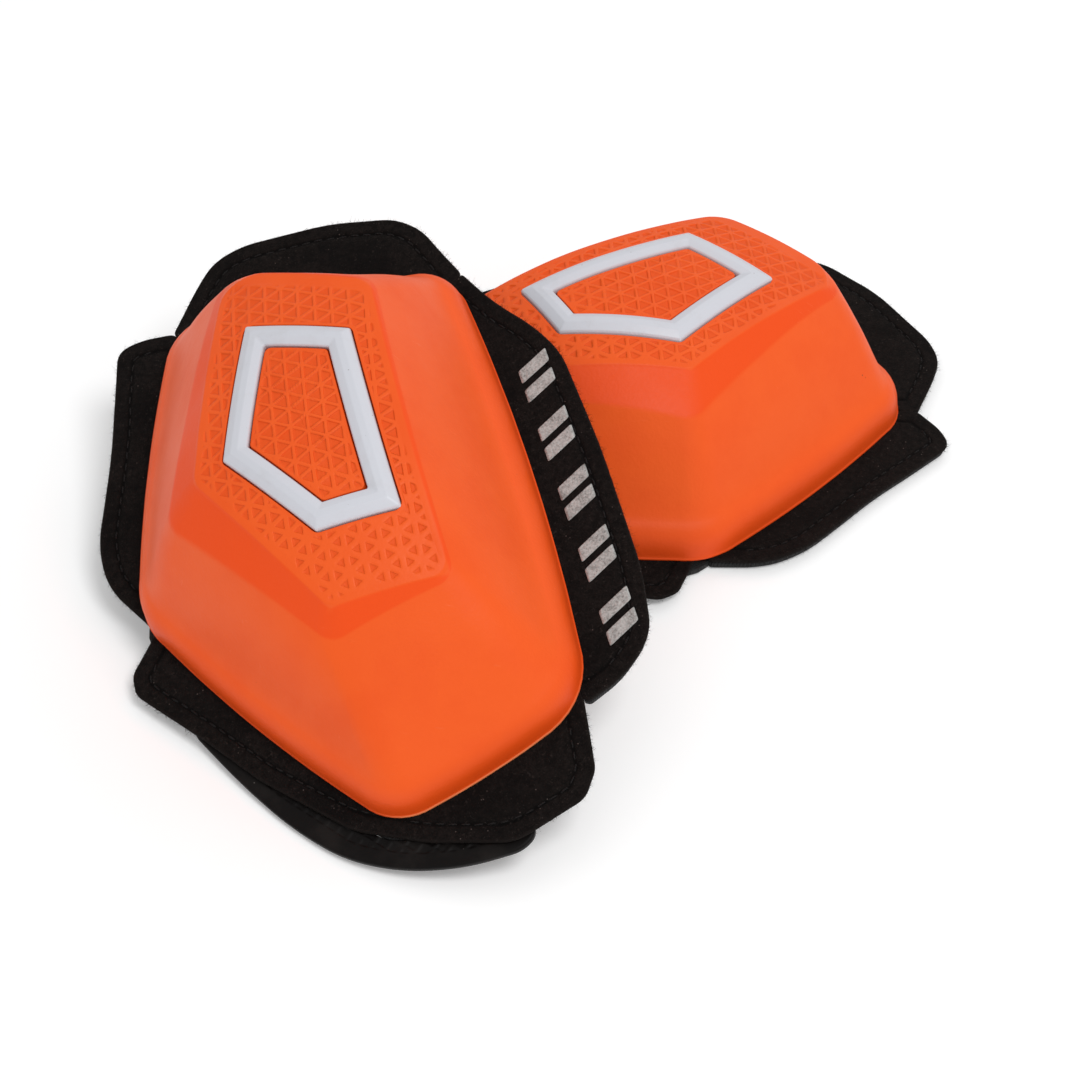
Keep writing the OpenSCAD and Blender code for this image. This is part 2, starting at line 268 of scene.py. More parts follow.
def ripple(xy, seed, size=40.0):  # a few slow waves in random directions, from -1 to 1
    rng = np.random.default_rng(seed)
    total = np.zeros(xy.shape[:-1])
    for k in range(5):
        a, phase = rng.uniform(0, 2 * math.pi, 2)
        scale = size / rng.uniform(0.7, 2.2)
        total += np.sin((xy[..., 0] * math.cos(a) + xy[..., 1] * math.sin(a)) / scale * 2 * math.pi + phase)
    return total / 5


def smoothStep(t):  # 3 t squared less 2 t cubed, from 0 to 1
    t = np.clip(t, 0, 1)
    return t * t * (3 - 2 * t)


def crown(xy):
    # the top less x squared over twice one radius and y squared over twice another, which is larger behind the top
    radiusY = np.where(xy[..., 1] > puck["topY"], puck["backRadiusY"], puck["radiusY"])
    return puck["top"] - xy[..., 0] ** 2 / (2 * puck["radiusX"]) - (xy[..., 1] - puck["topY"]) ** 2 / (2 * radiusY)


def onCrown(xy, drop=0.0):  # points on the crown, or a drop below it
    return np.concatenate([xy, (crown(xy) - drop)[..., None]], -1)


def atHeight(xy, z):  # points all at one height
    return np.concatenate([xy, np.full(xy.shape[:-1] + (1,), float(z))], -1)


panelCorners = rows(puck["panelCorners"])
edgeLengths = np.linalg.norm(np.roll(panelCorners, -1, 0) - panelCorners, axis=1)
ringCounts = np.round(edgeLengths / puck["spacing"]).astype(int)
centre = rows(puck["centre"])
ringCorners = centre + (panelCorners - centre) * rows(inlay["scale"])
rimLengths = np.linalg.norm(np.roll(rows(puck["rimCorners"]), -1, 0) - rows(puck["rimCorners"]), axis=1)
rimBow = puck["bow"] * np.minimum(1, (rimLengths / 105) ** 2)  # short edges bow less


def puckRing(corners, radii, bow=0.0):  # every ring of the puck has the same count of points
    return roundedRing(corners, radii, ringCounts, puck["arcSteps"], bow)


def rimInset(step):  # the rim's outline moved in by the step
    return puckRing(insetCorners(puck["rimCorners"], step), rows(puck["rimRadii"]) - step,
                    rimBow * (1 - step / 12))


def inlayRing(step, radius):  # the inlay's outline moved in by the step
    return puckRing(insetCorners(ringCorners, step), np.full(5, radius))


def edgeDistance(corners, xy):  # how far inside a convex outline each point is; negative outside
    a = rows(corners)
    out = turned(unitRows(np.roll(a, -1, 0) - a))
    return -((xy[..., None, :] - a) * out).sum(-1).max(-1)


def ridgeHalf(xy):  # ridges widen towards the tip and the outer and inner edges
    toTip = smoothStep((12 - xy[..., 1]) / 40)
    outer = edgeDistance(puck["panelCorners"], xy)
    toSide = smoothStep((7.5 - outer) / 5.5) * smoothStep((62 - xy[..., 1]) / 25)
    t = np.clip(np.maximum(toTip, 0.45 * toSide), 0, 1)
    return lattice["thin"] + (lattice["wide"] - lattice["thin"]) * t


def lineDistance(xy):  # distance to the nearest of three families of lines 60 degrees apart that meet in points
    s = lattice["spacing"]
    least = np.full(xy.shape[:-1], 1e9)
    for a in (0, 60, 120):
        q = (xy[..., 0] * math.cos(math.radians(a)) + xy[..., 1] * math.sin(math.radians(a))) / s
        least = np.minimum(least, np.abs(q - np.round(q)) * s)
    return least


def latticeMask(xy):  # 1 where the panel has its lattice: away from its edges and from the inlay
    inPanel = smoothStep((edgeDistance(puck["panelCorners"], xy) - lattice["margin"]) / 0.8)
    narrow = panelCorners[[4, 0]]  # the narrow end keeps a wider smooth margin
    fromNarrow = cross2(unitRows(narrow[1] - narrow[0]), xy - narrow[0])
    inPanel = inPanel * smoothStep((fromNarrow - lattice["narrowMargin"]) / 0.8)
    outside = -edgeDistance(insetCorners(ringCorners, -inlay["gap"]), xy)
    inside = edgeDistance(insetCorners(ringCorners, inlay["band"] + inlay["gap"]), xy)
    return inPanel * smoothStep((np.maximum(outside, inside) - lattice["ringMargin"]) / 0.5)


def makeShell(pad):
    # rings up the cavity's inside, out round the rim, up the sides, over the band and in across the crown
    base, top = puck["baseTop"], puck["baseTop"] + puck["rimWall"]
    drop = inlay["depth"] + puck["wall"]
    ceiling = puckRing(insetCorners(panelCorners, 2), np.full(5, 2.5))
    panel = puckRing(panelCorners, puck["panelRadii"])
    creaseFlat = puckRing(puck["creaseCorners"], puck["creaseRadii"])
    wide = np.linalg.norm(creaseFlat - panel, axis=1)
    fall = puck["creaseFall"] * wide + puck["creaseDrop"] * np.minimum(1, wide / puck["bandWide"])
    crease = onCrown(creaseFlat, fall)
    shoulder = atHeight(rimInset(5), top + 5.4)
    # the panel stands above the band on the inner side and at the tip, and fades into it elsewhere
    foot = puckRing(insetCorners(panelCorners, -0.55), rows(puck["panelRadii"]) + 0.55)
    stepUp = np.maximum(smoothStep((-8 - foot[:, 0]) / 8), smoothStep((-22 - foot[:, 1]) / 6))
    foot = onCrown(foot, 0.17 + puck["step"] * stepUp)
    within = puckRing(insetCorners(panelCorners, 1.0), np.maximum(rows(puck["panelRadii"]) - 1, 1))
    outer, inner = inlayRing(-inlay["gap"], inlay["footRadius"]), inlayRing(inlay["band"] + inlay["gap"], 1.4)
    flash = atHeight(rimInset(-puck["flashOut"]), base)
    keys = [
        (onCrown(centre + (ceiling - centre) * 0.5, drop), 0, 0, 0),
        (onCrown(ceiling, drop), 2, 2, 1),
        (atHeight(rimInset(puck["wall"] + 5), top + 3), 3, 2, 1),
        (atHeight(rimInset(puck["wall"] + 1), top - 1), 2, 2, 1),
        (atHeight(rimInset(puck["wall"]), base), 0.2, 1, 1),
        (flash, 0.1, 1, 1),
        (flash + rows([0, 0, 0.55]), 0.1, 1, 0),
        (atHeight(rimInset(0.05), base + 0.75), 0.1, 1, 0),
        (atHeight(rimInset(0.6), top), 2.2, 5, 2),
        (atHeight(rimInset(2.2), top + 3), 1.6, 4, 0),
        (shoulder, 5, 6, 1),
        ((shoulder + crease) / 2 + rows([0, 0, puck["swell"]]), 9, 6, 1),
        (crease, 1.0, 6, 3),
        (foot, 0.3, 3, 3),
        (onCrown(panel), 0.3, 4, 0),
        (onCrown(within), 0, 0, 0),
    ]
    topKeys = [
        (onCrown(within), 0, 0, 0),
        (onCrown(outer), 0.25, 3, 34),
        (onCrown(outer, inlay["depth"]), 0.2, 1, 2),
        (onCrown(inner, inlay["depth"]), 0.2, 1, 1),
        (onCrown(inner), 0.25, 3, 2),
        (onCrown(centre + (inner - centre) * 0.02), 0, 0, 34),
    ]
    below = softSection(keys)
    section = np.vstack([below, softSection(topKeys)[1:]])
    # the long flat stretches follow the crown, not the straight line between their ends
    xy = section[..., :2]
    z = section[..., 2]
    onTop = (np.abs(crown(xy) - z) < 1.0) & (np.arange(len(section))[:, None] >= len(below) - 1)
    flat = onTop & (latticeMask(xy) > 0)
    bandPart = np.linalg.norm(xy - panel, axis=-1) / wide
    z = np.where(flat, crown(xy), z)
    relief = latticeMask(xy) * smoothStep((lineDistance(xy) - ridgeHalf(xy)) / lattice["slope"])
    z = z - np.where(flat, relief * lattice["depth"], 0)
    wear = np.where(np.arange(len(section))[:, None] > 12, puck["wear"] * ripple(xy + z[..., None] * 0.7, 7, 26), 0)
    section = np.concatenate([xy + wear[..., None] * unitRows(xy - centre), z[..., None]], -1)
    verts, faces = closedSkin(section, [*centre, crown(centre) - drop], [*centre, crown(centre)])
    xyAll = verts[:, :2]
    isTop = np.concatenate([flat.ravel(), [False, True]])
    inside = edgeDistance(panelCorners, xyAll)
    climbing = np.arange(len(section))[:, None] > 40
    # the band mask, which places the painted shade on the steep band round the panel
    band = np.where(climbing, smoothStep((1.06 - bandPart) / 0.12), 0).ravel()
    masks = {
        "latticeOn": np.where(isTop, latticeMask(xyAll), 0),
        "ridgeHalf": ridgeHalf(xyAll),
        "bandOn": np.concatenate([band, [0, 0]]) * smoothStep((0.2 - inside) / 0.6),
        "height": verts[:, 2],
    }
    piece = finishMesh(pad.name("slider_shell_moulded"), verts, faces, pad, pad.name("pad"), xyAll * 0.01, masks)
    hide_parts(pad.name("slider_shell"))
    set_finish(piece, "orange_polyurethane")
    return piece


def makeInlay(pad):  # a loop of rings: up its outer side, over two bevels and a flat, and down its inner side
    band, bevel, proud, crest = inlay["band"], inlay["bevel"], inlay["proud"], inlay["crestRadius"]
    foot = inlay["depth"] - 0.06
    section = softSection([
        (onCrown(inlayRing(0.1, crest), foot), 0, 0, 0),
        (onCrown(inlayRing(0.1, crest), -0.1), 0.15, 2, 1),
        (onCrown(inlayRing(0.35, crest), -0.6), 0.15, 2, 0),
        (onCrown(inlayRing(bevel, crest), -proud), 0.22, 3, 1),
        (onCrown(inlayRing(band - bevel, crest), -proud), 0.22, 3, 3),
        (onCrown(inlayRing(band - 0.35, crest), -0.6), 0.15, 2, 1),
        (onCrown(inlayRing(band - 0.1, crest), -0.1), 0.15, 2, 0),
        (onCrown(inlayRing(band - 0.1, crest), foot), 0, 0, 1),
    ])
    rowCount, columnCount = section.shape[:2]
    verts = section.reshape(-1, 3)
    piece = finishMesh(pad.name("inlay_ring_moulded"), verts, [gridFaces(rowCount, columnCount, loop=True)], pad,
                       pad.name("pad"), verts[:, :2] * 0.01)
    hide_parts(pad.name("inlay_ring"))
    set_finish(piece, "white_plastic")
    return piece


# a crowned block whose sides pull in a little
foam = {"gap": 1.0, "floor": 5.8, "pull": 0.8}


def makeFoam(pad):  # the cavity's rings moved in by a gap, with the sides pulled in a little more
    gap, top = foam["gap"], puck["baseTop"] + puck["rimWall"]
    drop = inlay["depth"] + puck["wall"] + gap
    counts = np.round(edgeLengths / 2.5).astype(int)
    ring = lambda corners, radii, bow=0.0: roundedRing(corners, radii, counts, 5, bow)
    rim = lambda step: ring(insetCorners(puck["rimCorners"], step), rows(puck["rimRadii"]) - step,
                            rimBow * (1 - step / 12))
    ceiling = ring(insetCorners(panelCorners, 2 + gap), np.full(5, 2.5))
    low = puck["wall"] + gap
    keys = [
        (atHeight(centre + (rim(low) - centre) * 0.4, foam["floor"]), 0, 0, 0),
        (atHeight(rim(low + 0.3), foam["floor"]), 1.5, 4, 3),
        (atHeight(rim(low + 1 + foam["pull"]), top - 1), 2, 4, 1),
        (atHeight(rim(low + 5 + foam["pull"]), top + 2.6), 3, 4, 1),
        (onCrown(ceiling, drop + 0.3), 3, 5, 5),
        (onCrown(centre + (ceiling - centre) * 0.4, drop), 0, 0, 5),
    ]
    verts, faces = closedSkin(softSection(keys), [*centre, foam["floor"]], [*centre, crown(centre) - drop])
    piece = finishMesh(pad.name("foam_core_block"), verts, faces, pad, pad.name("pad"))
    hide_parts(pad.name("foam_core"))
    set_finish(piece, "grey_foam")
    return piece


# cover fabric over a hook backing, in a fixed part and free lobes
fabric = {
    "hookLow": 0.02, "hookTop": 1.95, "coverLow": 2.02, "coverTop": 3.2, "edgeRound": 0.42, "hookInset": 0.7,
    "under": 3.0, "lift": 0.35, "weave": 0.03, "flex": (1.8, 7.5),
    "stitchIn": 4.3, "stitchSink": 0.34, "stitchWide": 0.55, "stitchLength": 2.2, "stitchPitch": 3.0,
    "threadRadius": 0.24, "threadRise": 0.1,
}
lobes = {
    "top": {"edge": 4, "free": [(29, 82), (25.5, 89), (19, 94.5), (2, 98), (-22, 97.5), (-30, 94.5), (-35, 88)],
            "starts": 5.0, "ends": 5.5},
    "outer": {"edge": 3, "free": [(57, -47.5), (65, -39), (65.5, -21), (61, 14), (55.5, 43), (50, 52), (41, 62)],
              "starts": 3.0, "ends": 5.0},
    "inner": {"edge": 0, "free": [(-51, 76.5), (-57.5, 74.5), (-61, 46), (-66.5, 19), (-65, 7)],
              "starts": 5.5, "ends": 0.6},
}
tipLobe = [(-54.5, -9.5), (-60.5, -18.5), (-60, -24), (-44, -40), (-31.5, -53.5), (-11, -71), (6.5, -78), (26, -82.5),
           (43.5, -75.5), (46.8, -69), (46.8, -51.5)]
tipRadii = [5, 5, 30, 30, 20, 20, 12, 6, 6]
lipEdge = [(-47, -37), (-37, -52), (-26, -66), (-14, -77), (0, -83), (14, -85), (27, -84), (31, -81)]


def rimCorner(i):  # corners count round, so the sixth is the first
    return rows(puck["rimCorners"])[i % 5]


def beyondCorner(i, out):  # outwards from where the rounded rim passes a corner
    corners = rows(puck["rimCorners"])
    i = i % 5
    step = -cornerBisectors(corners)[i]
    back, on = unitRows(corners[i - 1] - corners[i]), unitRows(corners[(i + 1) % 5] - corners[i])
    half = math.acos(float(np.clip(back @ on, -1, 1))) / 2
    rounding = puck["rimRadii"][i] * (1 / math.sin(half) - 1)
    return corners[i] + unitRows(step) * (out - rounding)


def lobePaths(kind, shrink=0.0):
    # the back line under the rim, and the free line from its one end to its other
    lobe = lobes[kind]
    e = lobe["edge"]
    a, b = rimCorner(e), rimCorner(e + 1)
    inner = insetCorners(puck["rimCorners"], fabric["under"])
    start, end = inner[e], inner[(e + 1) % 5]
    free = rows(lobe["free"])
    path = np.vstack([[start], [beyondCorner(e, lobe["starts"])], free, [beyondCorner(e + 1, lobe["ends"])], [end]])
    line = smoothed(path, 0.5, [1.2] + [6.0] * len(free) + [1.2])
    if shrink:
        normal = -turned(unitRows(np.gradient(line, axis=0)))
        keep = np.clip(np.minimum(np.arange(len(line)), np.arange(len(line))[::-1]) / 30.0, 0, 1)
        line = line + normal * (shrink * keep)[:, None]
    return np.stack([start, end]), line


# how far in from a fabric edge the rows of a sheet lie, up to where its surface is plain
edgeSteps = [0, 0.06, 0.16, 0.3, 0.5, 0.9, 1.5, 2.3, 3.1, 3.6, 3.9, 4.15, 4.4, 4.7, 5.1, 5.8, 6.8]


def rowShares(steps, width):  # each step over the width, and never more than an even share of the rows
    count = len(steps) - 1
    share = np.minimum(rows(steps)[:, None] / np.maximum(width, 1e-6), np.arange(count + 1)[:, None] / count)
    share[-1] = 1
    return share


def slabRows(flat, edge, low, high, lift, groove, seed):
    # the underside's rows, then the top's; the edge is rolled over a quarter circle, and the stitches lie in a groove
    d, r = distanceTo(edge, flat), fabric["edgeRound"]
    raised = lift(flat)
    roll = r - np.sqrt(np.maximum(r * r - np.maximum(r - d, 0) ** 2, 0))
    dent = groove * np.exp(-((d - fabric["stitchIn"]) / fabric["stitchWide"]) ** 2)
    middle = (low + high) / 2
    below = np.minimum(low + roll, middle - 0.02) + raised
    above = np.maximum(high - roll - dent, middle + 0.02) + raised + fabric["weave"] * ripple(flat, seed, 5.0)
    lowRows = np.concatenate([flat, below[..., None]], -1)
    topRows = np.concatenate([flat, above[..., None]], -1)
    return np.concatenate([lowRows[::-1], topRows]), np.concatenate([d[::-1], d]).ravel()


def sheetPiece(name, pad, verts, faces, fromEdge, body, slotName):
    piece = finishMesh(name, verts, faces, pad, body, verts[:, :2] * 0.01, {"fromEdge": fromEdge}, merge=0.004)
    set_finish(piece, slotName)
    return piece


def leafSheet(name, pad, back, free, low, high, lift, groove, slotName, seed):
    # rows run from the back line to the free line, over the top and back under; both ends close to a point
    t = np.linspace(0, 1, len(free))[:, None]
    backLine = back[0] * (1 - t) + back[1] * t
    share = rowShares(np.concatenate([edgeSteps, np.arange(8.2, 40, 1.8)]), np.linalg.norm(free - backLine, axis=1))
    flat = free + (backLine - free) * share[..., None]
    section, fromEdge = slabRows(flat, free, low, high, lift, groove, seed)
    faces = gridFaces(*section.shape[:2], wrap=False, loop=True)
    return sheetPiece(name, pad, section.reshape(-1, 3), [faces], fromEdge, None, slotName)


def radialSheet(name, pad, outline, middle, low, high, groove, slotName, seed, lift):
    # rows run in from the outline towards a middle point, over the top and back under
    width = np.linalg.norm(outline - middle, axis=1)
    share = rows(edgeSteps + [8.2, 10, 12, 14.5, 17.5, 21])[:, None] / width
    share = np.vstack([share, np.full((1, len(width)), 0.85), np.full((1, len(width)), 0.97)])
    share = np.maximum.accumulate(np.minimum(share, 0.97), axis=0)
    flat = outline + (middle - outline) * share[..., None]
    # the groove is only where the sheet shows beyond the rim
    shown = smoothStep((-edgeDistance(puck["rimCorners"], flat) + 1.5) / 1.5)
    section, fromEdge = slabRows(flat, np.vstack([outline, outline[:1]]), low, high, lift, groove * shown, seed)
    verts, faces = closedSkin(section, [*middle, low], [*middle, high])
    return sheetPiece(name, pad, verts, faces, np.append(fromEdge, [20, 20]), pad.name("pad"), slotName)


def pathArea(line):  # half the sum of the cross products of neighbouring points
    return abs(cross2(line, np.roll(line, -1, 0)).sum()) / 2


def declareSheet(outline):  # the flat outline's area is worked out and not used
    area = pathArea(outline)


def repeated(faces, count, vertsEach):  # the faces of one small shape, for every copy of it
    offset = (np.arange(count) * vertsEach)[:, None, None]
    return [(f[None] + offset).reshape(-1, f.shape[1]) for f in faces]


# stitches: short rounded bars lying in the groove, a set pitch apart
def bars(points, direction, up, length, radius, rise, sides=6):
    # each bar is a ring section swept along its own length, smaller at both ends
    along = np.array([-0.5, -0.42, 0, 0.42, 0.5]) * length
    size = np.array([0.35, 0.85, 1, 0.85, 0.35]) * radius
    dip = np.array([-0.55, -0.18, 0, -0.18, -0.55]) * radius * 2.2
    angle = np.arange(sides) / sides * 2 * math.pi
    side = np.cross(up, direction)
    ring = (side[:, None, None] * (np.cos(angle)[None, None, :, None] * size[None, :, None, None])
            + up[:, None, None] * (np.sin(angle)[None, None, :, None] * size[None, :, None, None]
                                   + dip[None, :, None, None] + rise)
            + direction[:, None, None] * along[None, :, None, None])
    verts = (points[:, None, None] + ring).reshape(len(points), -1, 3)
    caps = [np.arange(sides)[None, ::-1], 4 * sides + np.arange(sides)[None]]
    return verts.reshape(-1, 3), repeated([gridFaces(len(along), sides), *caps], len(points), verts.shape[1])


def insidePath(free, inset, keepEnds):
    # the free line moved in, less the points that came too near another stretch of it
    normal = -turned(unitRows(np.gradient(free, axis=0)))
    line = free + normal * inset
    good = distanceTo(free, line) > inset - 0.12
    good[:keepEnds] = good[-keepEnds:] = False
    return resampled(line[good], 0.5)


def makeStitches(name, pad, line, top, lift, body, seed):  # bars at even steps, each a little askew
    rng = np.random.default_rng(seed)
    count = int(np.linalg.norm(np.diff(line, axis=0), axis=1).sum() / fabric["stitchPitch"])
    spots = resampled(line, count=max(count, 3))
    direction = unitRows(np.gradient(spots, axis=0))
    tilt = rng.normal(0, 0.05, len(spots))
    direction = unitRows(direction + turned(direction) * tilt[:, None])
    spots = spots + turned(direction) * rng.normal(0, 0.08, len(spots))[:, None]
    z = top - fabric["stitchSink"] + lift(spots)
    points = np.concatenate([spots, z[:, None]], 1)
    zero = np.zeros((len(spots), 1))
    verts, faces = bars(points, np.concatenate([direction, zero], 1), np.tile([0.0, 0, 1], (len(spots), 1)),
                        fabric["stitchLength"], fabric["threadRadius"], fabric["threadRise"])
    piece = finishMesh(name, verts, faces, pad, body)
    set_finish(piece, "black_thread")
    return piece


# loose fibres along the cut edges: thin tapers that curl away from the edge
fuzz = {"perMillimetre": 6.0, "length": (0.5, 2.1), "radius": 0.032}


def makeFuzz(name, pad, line, low, high, lift, body, seed, slotName):
    # a spine is its start plus heading times t and curl times t squared, with three sides that taper to a tip
    rng = np.random.default_rng(seed)
    total = np.linalg.norm(np.diff(line, axis=0), axis=1).sum()
    count = int(total * fuzz["perMillimetre"])
    s = rng.uniform(0, 1, count) * (len(line) - 1)
    index = np.minimum(s.astype(int), len(line) - 2)
    at = line[index] + (line[index + 1] - line[index]) * (s - index)[:, None]
    tangent = unitRows(line[index + 1] - line[index])
    out = turned(tangent)
    z = rng.uniform(low + 0.3, high - 0.1, count) + lift(at)
    start = np.concatenate([at - out * 0.15, z[:, None]], 1)
    forward, sideways = rng.uniform(0.3, 1.0, count)[:, None], rng.normal(0, 0.7, count)[:, None]
    rise = rng.normal(0.12, 0.4, count)[:, None]
    heading = unitRows(np.concatenate([out * forward + tangent * sideways, rise], 1))
    curl = unitRows(np.stack([rng.normal(0, 1, count), rng.normal(0, 1, count), rng.normal(0, 0.5, count)], 1))
    length = rng.uniform(*fuzz["length"], count) * rng.uniform(0.3, 1, count)
    t = np.array([0, 0.4, 0.75])[None, :, None]
    spine = start[:, None] + (heading[:, None] * t + curl[:, None] * t * t * 0.45) * length[:, None, None]
    tip = start + (heading + curl * 0.45) * length[:, None]
    spine[..., 2], tip[:, 2] = np.maximum(spine[..., 2], 0.06), np.maximum(tip[:, 2], 0.06)
    side = unitRows(np.cross(heading, curl) + 1e-6)
    other = np.cross(heading, side)
    angle = np.arange(3) / 3 * 2 * math.pi
    size = (np.array([1, 0.8, 0.5]) * fuzz["radius"])[None, :, None, None]
    ring = spine[:, :, None] + size * (side[:, None, None] * np.cos(angle)[None, None, :, None]
                                       + other[:, None, None] * np.sin(angle)[None, None, :, None])
    verts = np.concatenate([ring.reshape(count, 9, 3), tip[:, None]], 1)
    j = np.arange(3)
    tips = np.stack([6 + j, 6 + (j + 1) % 3, np.full(3, 9)], 1)
    faces = repeated([gridFaces(3, 3), tips, np.array([[2, 1, 0]])], count, verts.shape[1])
    piece = finishMesh(name, verts.reshape(-1, 3), faces, pad, body)
    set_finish(piece, slotName)
    return piece


def bendLine(pad, kind):
    # a line from just outside the rim to a little beyond it, at the backing's top
    e = lobes[kind]["edge"]
    a, b = rimCorner(e), rimCorner(e + 1)
    out = turned(unitRows(b - a))
    middle = (a + b) / 2
    height = fabric["hookTop"]
    return [pad.place([*(middle + out * step), height]).tolist() for step in fabric["flex"]]


def makeLobe(pad, kind, seed):  # cover, backing, stitches and loose fibres of one lobe
    back, free = lobePaths(kind)
    hookBack, hookFree = lobePaths(kind, fabric["hookInset"])
    e = lobes[kind]["edge"]
    out = turned(unitRows(rimCorner(e + 1) - rimCorner(e)))
    base = rimCorner(e) @ out

    def lift(xy):  # the free side stands up a little, in slow waves
        away = smoothStep((xy @ out - base - 3) / 12)
        return fabric["lift"] * away * (1 + ripple(xy, seed, 55.0))

    start, end = bendLine(pad, kind)
    body = pad.name(kind + "_flap")
    made = []
    cover = leafSheet(pad.name(kind + "_cover_lobe"), pad, back, free, fabric["coverLow"], fabric["coverTop"], lift,
                      fabric["stitchSink"], "black_suede", seed)
    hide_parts(pad.name(kind + "_cover_flap"))
    hook = leafSheet(pad.name(kind + "_hook_lobe"), pad, hookBack, hookFree, fabric["hookLow"], fabric["hookTop"],
                     lift, 0.0, "hook_fabric", seed + 1)
    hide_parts(pad.name(kind + "_hook_flap"))
    stitchLine = insidePath(free, fabric["stitchIn"], 24)
    stitches = makeStitches(pad.name(kind + "_stitching"), pad, stitchLine, fabric["coverTop"], lift, None, seed + 2)
    fibres = makeFuzz(pad.name(kind + "_edge_fibres"), pad, free[12:-12], fabric["coverLow"] - 0.8, fabric["coverTop"],
                      lift, None, seed + 3, "black_suede")
    made += [cover, hook, stitches, fibres]
    if kind == "outer":
        made.append(makeMarks(pad, lift))
    for piece in made:
        pad.name("pad")
        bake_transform(piece)
    outline = np.vstack([free, back[::-1]])
    declareSheet(outline)
    declareSheet(np.vstack([hookFree, hookBack[::-1]]))
    return made


# slanted reflective marks, evenly spaced, in place of printing
marks = {"count": 5, "first": 0.1, "step": 0.14, "start": 6.8, "height": 8.2, "length": 3.8, "pair": 5.9,
         "slant": 4.0, "thick": 0.14}


def makeMarks(pad, lift):
    # each mark is a slanted square grid pulled in to a superellipse, so its corners are round
    a, b = rimCorner(3), rimCorner(4)
    along, length = unitRows(b - a), np.linalg.norm(b - a)
    out = turned(along)
    where = length * (marks["first"] + marks["step"] * np.arange(marks["count"]))
    where = (where[:, None] + rows([0, marks["pair"]])).ravel()
    low = a + along * where[:, None] + out * marks["start"]
    s, t = np.meshgrid(np.linspace(0, 1, 19), np.linspace(0, 1, 13), indexing="ij")
    square = (np.abs(2 * s - 1) ** 14 + np.abs(2 * t - 1) ** 14) ** (1 / 14)
    shrink = np.where(square > 1, 1 / np.maximum(square, 1e-6), 1)
    s, t = 0.5 + (s - 0.5) * shrink, 0.5 + (t - 0.5) * shrink
    flat = (low[:, None, None] + along * (s * marks["length"] + t * marks["slant"])[..., None]
            + out * (t * marks["height"])[..., None])
    z = fabric["coverTop"] + lift(flat)
    grain = 0.02 * ripple(flat, 5, 2.5)
    top = np.concatenate([flat, (z + marks["thick"] + grain)[..., None]], -1)
    low = np.concatenate([flat, (z - 0.1)[..., None]], -1)
    n, m = s.shape
    quads = gridFaces(n, m, wrap=False)
    rim = np.concatenate([np.arange(m), np.arange(1, n) * m + m - 1, (n - 1) * m + np.arange(m - 2, -1, -1),
                          np.arange(n - 2, 0, -1) * m])
    wall = np.stack([rim, np.roll(rim, -1), np.roll(rim, -1) + n * m, rim + n * m], 1)
    block = np.concatenate([quads, quads[:, ::-1] + n * m, wall[:, ::-1]])
    verts = np.concatenate([top.reshape(len(where), -1, 3), low.reshape(len(where), -1, 3)], 1).reshape(-1, 3)
    piece = finishMesh(pad.name("reflective_marks"), verts, repeated([block], len(where), 2 * n * m), pad, None,
                       verts[:, :2] * 0.01)
    bm = bmesh.new()
    bm.from_mesh(piece.data)
    bmesh.ops.recalc_face_normals(bm, faces=bm.faces)
    bm.to_mesh(piece.data)
    bm.free()
    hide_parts(pad.name("reflective_bars"))
    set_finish(piece, "reflective_print")
    return piece


def coreOutlines():
    # under the puck the fixed fabric meets the lobes; round the tip it is the tip lobe itself
    inner = insetCorners(puck["rimCorners"], fabric["under"])
    cover = np.vstack([[inner[3] + unitRows(inner[4] - inner[3]) * 1.0], [inner[4]], [inner[0]],
                       [inner[1] - unitRows(inner[1] - inner[0]) * 1.0], tipLobe])
    radii = [1, 8, 8, 1] + [1.0] + tipRadii + [1.0]
    ring = roundedRing(cover, radii, np.maximum(np.linalg.norm(np.roll(cover, -1, 0) - cover, axis=1) / 0.9, 2)
                       .astype(int), 5)
    outset = insetCorners(puck["rimCorners"], -3)
    hook = np.vstack([[inner[3] + unitRows(inner[4] - inner[3]) * 4.0], [inner[4]], [inner[0]],
                      [inner[1] - unitRows(inner[1] - inner[0]) * 4.0], [outset[1]], [outset[2]], [outset[3]]])
    hookRing = roundedRing(hook, [1, 8, 8, 1, 11, 8.4, 11],
                           np.maximum(np.linalg.norm(np.roll(hook, -1, 0) - hook, axis=1) / 1.2, 2).astype(int), 5)
    return ring, hookRing


def makeCore(pad, seed):  # the fixed fabric under the puck, with the tip lobe
    ring, hookRing = coreOutlines()
    middle = rows([-5, -10])

    def lift(xy):
        away = smoothStep((edgeDistance(puck["rimCorners"], xy) * -1 - 3) / 10)
        return fabric["lift"] * 0.6 * away * (1 + ripple(xy, seed, 45.0))

    cover = radialSheet(pad.name("fixed_cover"), pad, ring, middle, fabric["coverLow"], fabric["coverTop"] - 0.02,
                        fabric["stitchSink"], "black_suede", seed, lift)
    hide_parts(pad.name("cover_core"))
    hook = radialSheet(pad.name("fixed_hook_backing"), pad, hookRing, middle, fabric["hookLow"], fabric["hookTop"],
                       0.0, "hook_fabric", seed + 1, lambda xy: np.zeros(xy.shape[:-1]))
    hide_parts(pad.name("hook_core"))
    free = smoothed(tipLobe, 0.5, tipRadii)
    stitchLine = insidePath(free, fabric["stitchIn"], 14)
    outside = -edgeDistance(puck["rimCorners"], stitchLine) > 1.0
    stitchLine = stitchLine[outside]
    stitches = makeStitches(pad.name("tip_stitching"), pad, stitchLine, fabric["coverTop"], lift, pad.name("pad"),
                            seed + 2)
    fibres = makeFuzz(pad.name("tip_edge_fibres"), pad, free[6:-6], fabric["coverLow"] - 0.2, fabric["coverTop"], lift,
                      pad.name("pad"), seed + 3, "black_suede")
    declareSheet(ring)
    declareSheet(hookRing)
    return [cover, hook, stitches, fibres]


